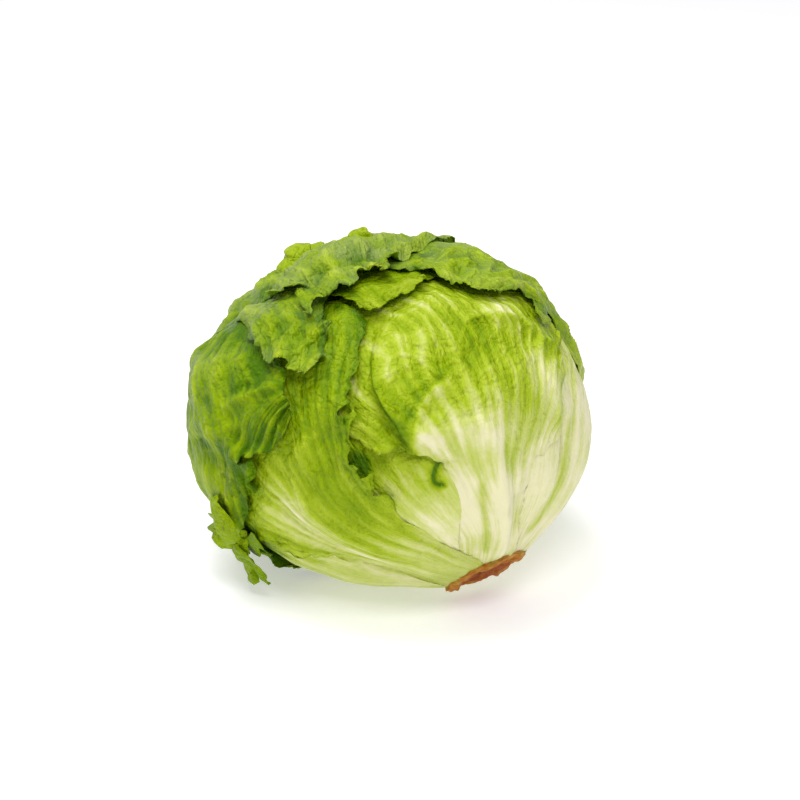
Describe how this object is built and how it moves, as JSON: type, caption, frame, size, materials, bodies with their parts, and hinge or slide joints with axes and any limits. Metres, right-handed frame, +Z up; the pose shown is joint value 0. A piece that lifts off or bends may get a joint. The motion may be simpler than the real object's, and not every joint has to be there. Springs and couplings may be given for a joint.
{
  "type": "iceberg lettuce head",
  "caption": "Round head of crisp lettuce with loose wrapper leaves and a trimmed stem, lying on its side.",
  "frame": {"origin": "middle of the flat underneath that the head lies on, straight below the head's centre", "axes": "+Z up from the surface it lies on, -Y towards the viewer, +X to the right, with the cut stem low on the -Y +X side"},
  "size_m": [0.161, 0.1552, 0.1297],
  "materials": {
    "green_leaf": "yellow-green leaf blade with pale veins, soft waxy sheen",
    "pale_leaf": "creamy pale green leaf base, smooth and faintly striped",
    "heart_leaf": "pale yellow-green packed inner leaves",
    "cut_stem": "dry reddish brown cut face with a tan rim"
  },
  "bodies": {
    "root": {"stem": "cut_stem", "heart": "heart_leaf", "inner_leaf_front": "heart_leaf", "inner_leaf_right": "heart_leaf", "inner_leaf_left": "heart_leaf", "pale_right_leaf": "pale_leaf", "right_leaf": "pale_leaf", "pale_middle_leaf": "pale_leaf", "front_leaf": "green_leaf", "under_leaf": "pale_leaf", "left_leaf": "green_leaf", "crown_inner_leaf": "green_leaf", "back_right_leaf": "green_leaf", "left_outer_leaf": "green_leaf", "upper_left_leaf": "green_leaf", "crown_leaf": "green_leaf"}
  },
  "joints": []
}
